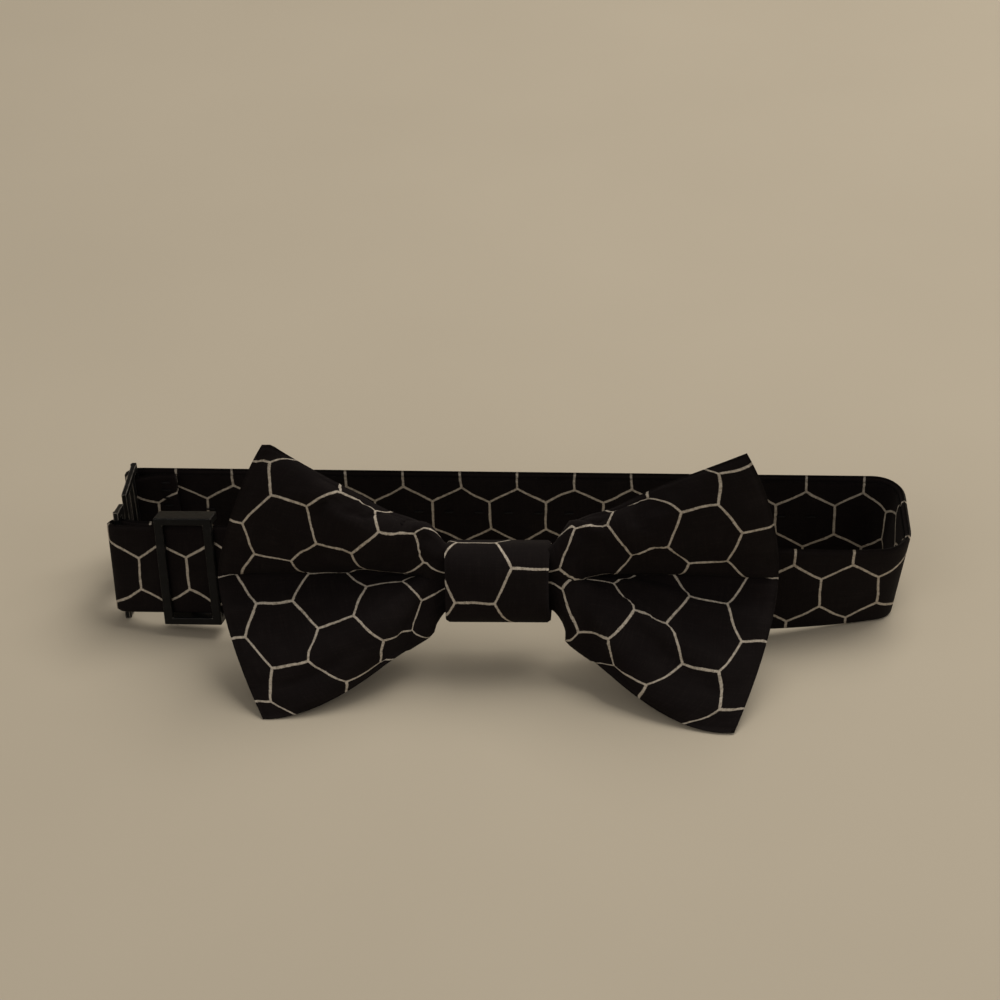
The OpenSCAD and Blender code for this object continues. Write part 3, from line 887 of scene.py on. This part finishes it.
def printed_cotton(name, pitch_u=11.1, pitch_v=14.0, shift=(0, 0), upright=False, line=0.50, splits=None):
    """Black plain-woven cotton printed with cream outlines of hexagons. splits gives a second shift for
    the cloth right of the knot."""
    g = Graph(name)
    u, v, both = cloth_axes(g)
    weave, slub = plain_weave(g, u, v, both, 0.30)
    mask = hexagons(g, u, v, both, pitch_u, pitch_v, shift, upright, line)
    if splits is not None:
        other = hexagons(g, u, v, both, pitch_u, pitch_v, splits, upright, line)
        right = g.math("GREATER_THAN", u, 0.0)
        mask = g.math("ADD", g.math("MULTIPLY", mask, g.math("SUBTRACT", 1.0, right)),
                      g.math("MULTIPLY", other, right))
    gaps = g.ramp(weave, 0.15, 0.55)
    cover = g.math("MULTIPLY", mask, g.math("ADD", 0.62, g.math("MULTIPLY", gaps, 0.38)))
    thin = g.ramp(g.noise(both, 1.4, 4.0, 0.65), 0.30, 0.62)
    ink = g.mix(thin, INK_THIN, INK)
    ink = g.mix(g.math("MULTIPLY", g.ramp(slub, 0.42, 0.62), 0.35), ink, (0.64, 0.58, 0.50, 1))
    dust = g.ramp(g.noise(both, 0.16, 4.0, 0.6), 0.42, 0.75)
    ground = g.mix(g.math("ADD", g.math("MULTIPLY", dust, 0.30),
                          g.math("MULTIPLY", g.ramp(slub, 0.48, 0.66), 0.45)), COTTON, COTTON_WORN)
    # Painted shade: the ground is darkened towards near black in the low gaps between the woven threads
    between = g.math("MULTIPLY", g.math("SUBTRACT", 1.0, gaps), 0.45)
    ground = g.mix(between, ground, (0.003, 0.0026, 0.0026, 1))
    g.put(g.bsdf.inputs["Base Color"], g.mix(cover, ground, ink))
    rough = g.math("ADD", 0.80, g.math("MULTIPLY", slub, 0.14))
    g.put(g.bsdf.inputs["Roughness"], g.math("SUBTRACT", rough, g.math("MULTIPLY", cover, 0.10)))
    g.put(g.bsdf.inputs["Specular IOR Level"], 0.12)
    g.put(g.bsdf.inputs["Sheen Weight"], 0.012)
    g.put(g.bsdf.inputs["Sheen Roughness"], 0.5)
    g.put(g.bsdf.inputs["Sheen Tint"], (0.9, 0.82, 0.76, 1))
    height = g.math("ADD", weave, g.math("MULTIPLY", slub, 1.3))
    normal = g.bump(height, 0.55, 0.05 * MM)
    normal = g.bump(mask, 0.35, 0.03 * MM, normal)
    normal = g.bump(g.noise(both, 0.28, 3.0, 0.55), 0.5, 0.22 * MM, normal)
    g.put(g.bsdf.inputs["Normal"], normal)
    return g.mat


def lining_cloth():
    g = Graph("lining_cloth")
    u, v, both = cloth_axes(g)
    weave, slub = plain_weave(g, u, v, both, 0.45)
    base = g.mix(g.ramp(slub, 0.35, 0.65), (0.020, 0.019, 0.020, 1), (0.042, 0.040, 0.041, 1))
    # Painted shade: the cloth is darkened to near black in the low gaps of the weave
    g.put(g.bsdf.inputs["Base Color"], g.mix(g.ramp(weave, 0.1, 0.6), (0.008, 0.008, 0.008, 1), base))
    g.put(g.bsdf.inputs["Roughness"], g.math("ADD", 0.82, g.math("MULTIPLY", slub, 0.12)))
    g.put(g.bsdf.inputs["Specular IOR Level"], 0.2)
    g.put(g.bsdf.inputs["Sheen Weight"], 0.08)
    g.put(g.bsdf.inputs["Normal"], g.bump(g.math("ADD", weave, slub), 0.6, 0.08 * MM))
    return g.mat


def sewing_thread():
    g = Graph("sewing_thread")
    where = g.node("ShaderNodeNewGeometry").outputs["Position"]
    split = g.node("ShaderNodeSeparateXYZ", {0: where})
    slant = g.math("ADD", split.outputs[0], g.math("MULTIPLY", split.outputs[2], 0.8))
    twist = g.math("ABSOLUTE", g.math("SINE", g.math("MULTIPLY", slant, math.pi / (0.32 * MM))))
    fuzz = g.noise(where, 6500.0, 3.0, 0.7)
    # Painted shade and highlight: the colour is darker in the grooves of the twist and lighter on its ridges,
    # following the height that the bump uses; the fuzz adds random tone
    tone = g.math("ADD", g.math("MULTIPLY", twist, 0.6), g.math("MULTIPLY", fuzz, 0.4))
    g.put(g.bsdf.inputs["Base Color"], g.mix(tone, (0.002, 0.0018, 0.0018, 1), (0.009, 0.008, 0.0078, 1)))
    g.put(g.bsdf.inputs["Roughness"], g.math("ADD", 0.45, g.math("MULTIPLY", fuzz, 0.3)))
    g.put(g.bsdf.inputs["Specular IOR Level"], 0.15)
    g.put(g.bsdf.inputs["Normal"], g.bump(tone, 0.7, 0.05 * MM))
    return g.mat


def black_enamel():
    """Black stove enamel over pressed steel, rubbed through along its edges."""
    g = Graph("black_enamel")
    geometry = g.node("ShaderNodeNewGeometry")
    where = geometry.outputs["Position"]
    peel = g.noise(where, 900.0, 3.0, 0.55)
    chips = g.noise(where, 420.0, 5.0, 0.72)
    specks = g.noise(where, 3200.0, 3.0, 0.6)
    soft = g.node("ShaderNodeBevel", {"Radius": 0.35 * MM}, samples=6)
    dot = g.node("ShaderNodeVectorMath", {0: soft.outputs[0], 1: geometry.outputs["True Normal"]},
                 operation="DOT_PRODUCT")
    edge = g.ramp(dot.outputs["Value"], 0.995, 0.86)
    worn = g.ramp(g.math("ADD", g.math("MULTIPLY", edge, 0.46), g.math("MULTIPLY", chips, 0.62)), 0.66, 0.78)
    scuff = g.ramp(g.math("ADD", chips, g.math("MULTIPLY", specks, 0.35)), 0.66, 0.92)
    paint = g.mix(scuff, (0.0022, 0.0021, 0.0022, 1), (0.010, 0.0095, 0.009, 1))
    metal = g.mix(specks, (0.26, 0.235, 0.21, 1), (0.46, 0.43, 0.39, 1))
    g.put(g.bsdf.inputs["Base Color"], g.mix(worn, paint, metal))
    g.put(g.bsdf.inputs["Metallic"], g.math("MULTIPLY", worn, 0.9))
    rough = g.math("ADD", 0.34, g.math("MULTIPLY", peel, 0.16))
    rough = g.math("ADD", rough, g.math("MULTIPLY", scuff, 0.20))
    g.put(g.bsdf.inputs["Roughness"], g.math("ADD", rough, g.math("MULTIPLY", worn, 0.08), clamp=True))
    g.put(g.bsdf.inputs["Specular IOR Level"], 0.16)
    height = g.math("SUBTRACT", g.math("MULTIPLY", peel, 0.5), g.math("MULTIPLY", worn, 0.6))
    g.put(g.bsdf.inputs["Normal"], g.bump(height, 0.30, 0.10 * MM))
    return g.mat


def floor_paint():
    g = Graph("studio_floor")
    where = g.node("ShaderNodeNewGeometry").outputs["Position"]
    tone = g.noise(where, 9.0, 3.0, 0.5)
    g.put(g.bsdf.inputs["Base Color"], g.mix(tone, (0.50, 0.440, 0.345, 1), (0.56, 0.495, 0.390, 1)))
    g.put(g.bsdf.inputs["Roughness"], 0.85)
    g.put(g.bsdf.inputs["Specular IOR Level"], 0.2)
    g.put(g.bsdf.inputs["Normal"], g.bump(g.noise(where, 1400.0, 3.0), 0.15, 0.06 * MM))
    return g.mat


def wear(piece, material):
    piece.data.materials.clear()
    piece.data.materials.append(material)
    return piece


# ---------------------------------------------------------------- making the pieces
thread_mat = sewing_thread()
lining_mat = lining_cloth()
enamel_mat = black_enamel()
bow_cotton = printed_cotton("bow_cotton", shift=(-22.0, 0.0), splits=(19.8, 0.0))
knot_cotton = printed_cotton("knot_cotton", pitch_u=11.8, pitch_v=14.2, shift=(-4.55, -4.3))
band_cotton = printed_cotton("band_cotton", pitch_u=12.5, pitch_v=10.7, shift=(0.0, -0.8), upright=True)

bow = bow_pieces()
for name in ("bow_front", "bow_back"):
    wear(bow[name], bow_cotton)
wear(bow["bow_lining"], lining_mat)

knot = knot_piece("knot_cloth", knot_w, knot_d, knot_h, (back_corner, front_corner), 0.9, 11, 0.55)
wear(knot, knot_cotton)
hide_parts("knot_wrap")
liner = knot_piece("knot_lining", knot_w - 2, knot_d - 2 * liner_in, knot_h - 2 * liner_in,
                   (back_corner - liner_in, front_corner - liner_in), 0.4, 12, 0.0)
wear(liner, lining_mat)
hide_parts("knot_liner")

path = band_path()
band_face = ribbon("band_face", path, -band_t / 2, band_t / 2 - 0.45, seed=21, pattern=band_print)
wear(band_face, band_cotton)
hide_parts("band_face_ply")
band_back = ribbon("band_back", path, band_t / 2 - 0.42, band_t / 2 + 0.02, inset=1.1, seed=21,
                   pattern=band_print)
wear(band_back, band_cotton)
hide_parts("band_back_ply")
band_core = ribbon("band_core", path, -lining_half, lining_half, inset=2.2)
wear(band_core, lining_mat)
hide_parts("band_interlining")

band_length = resample(path, 0.9)[4][-1]

gather = tube_ring("gather_thread", gather_loops(), thread_r)
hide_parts("bow_gather_thread")
knot_seam = stitches("knot_seam", column_places(
    knot_c + (knot_d / 2 + 0.1) * knot_back, np.array([1.0, 0, 0]), knot_up, knot_back, 5, 2.3))
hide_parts("knot_seam_stitches")
band_seam = stitches("band_seam", seam_places())
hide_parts("band_seam_stitches")
eye_seam = stitches("eye_fold_seam", column_places(
    np.array([eye_bar[0] + eye_lap - 2.2, back_y - lap - band_t / 2 - 0.1, eye_bar[2]]),
    np.array([1.0, 0, 0]), np.array([0, 0, 1.0]), np.array([0, -1.0, 0]), 9, 2.0))
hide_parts("eye_fold_stitches")
loop_seam = stitches("strap_end_seam", column_places(
    strap_point(slider_x, 3.6), sx, sz, sy, 9, 2.0))
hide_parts("strap_end_stitches")
for piece in (gather, knot_seam, band_seam, eye_seam, loop_seam):
    wear(piece, thread_mat)

strap_end = strap_loop()
wear(strap_end, band_cotton)
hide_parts("strap_end_loop")
returning = strap_return()
wear(returning, band_cotton)

for piece in (*bow.values(), knot, liner, band_face, band_back, band_core, gather, knot_seam, band_seam,
              eye_seam):
    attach(piece, "root")
for piece in (strap_end, loop_seam):
    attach(piece, "slider")
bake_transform(returning)

metal = {"slider": softened("slider_metal", "slider_frame", 0.28),
         "hook": softened("hook_metal", "hook", 0.24),
         "eye": softened("eye_metal", "eye", 0.24)}
for body, piece in metal.items():
    wear(piece, enamel_mat)
    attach(piece, body)


# ---------------------------------------------------------------- floor, light, camera
def floor():
    half, back, rise = 1.6, 0.9, 0.6
    verts = [(-half, -half, 0), (half, -half, 0)]
    curve = [(back + rise * math.sin(a), rise * (1 - math.cos(a)))
             for a in np.linspace(0, math.pi / 2, 14)] + [(back + rise, 2.4)]
    for y, z in curve:
        verts += [(-half, y, z), (half, y, z)]
    faces = [(2 * i, 2 * i + 1, 2 * i + 3, 2 * i + 2) for i in range(len(curve))]
    mesh = bpy.data.meshes.new("floor")
    mesh.from_pydata(verts, [], faces)
    mesh.polygons.foreach_set("use_smooth", [True] * len(faces))
    piece = link(bpy.data.objects.new("floor", mesh))
    mesh.materials.append(floor_paint())


def area_light(name, place, target, size, power, colour):
    data = bpy.data.lights.new(name, "AREA")
    data.shape = "RECTANGLE"
    data.size, data.size_y = size
    data.energy = power
    data.color = colour
    lamp = link(bpy.data.objects.new(name, data))
    lamp.location = place
    lamp.rotation_euler = (Vector(target) - Vector(place)).to_track_quat("-Z", "Y").to_euler()


def camera():
    data = bpy.data.cameras.new("camera")
    data.sensor_width = 36.0
    data.lens = 85.02
    data.clip_start = 0.01
    data.clip_end = 20
    cam = link(bpy.data.objects.new("camera", data))
    place = Matrix.Translation((0.031325, front_y * MM - 0.398968, 0.308852))
    turn_left = Matrix.Rotation(math.radians(4.46746), 4, "Z")
    look_down = Matrix.Rotation(math.radians(90 - 34.7516), 4, "X")
    roll = Matrix.Rotation(math.radians(-2.41486), 4, "Z")
    cam.matrix_world = place @ turn_left @ look_down @ roll
    bpy.context.scene.camera = cam


floor()
area_light("key", (0.35, 0.42, 1.0), (0, 0, 0.02), (0.8, 0.8), 8.7, (1.0, 0.955, 0.88))
area_light("fill", (-0.5, -0.8, 0.75), (0, 0, 0.02), (0.9, 0.9), 2.2, (1.0, 0.95, 0.88))
area_light("side", (1.0, -0.3, 0.6), (0, 0, 0.02), (0.7, 0.7), 1.4, (1.0, 0.96, 0.92))
camera()

world = bpy.data.worlds.new("world")
bpy.context.scene.world = world
world.use_nodes = True
world.node_tree.nodes["Background"].inputs[0].default_value = (1.0, 0.96, 0.91, 1)
world.node_tree.nodes["Background"].inputs[1].default_value = 0.20
bpy.context.scene.view_settings.view_transform = "Standard"
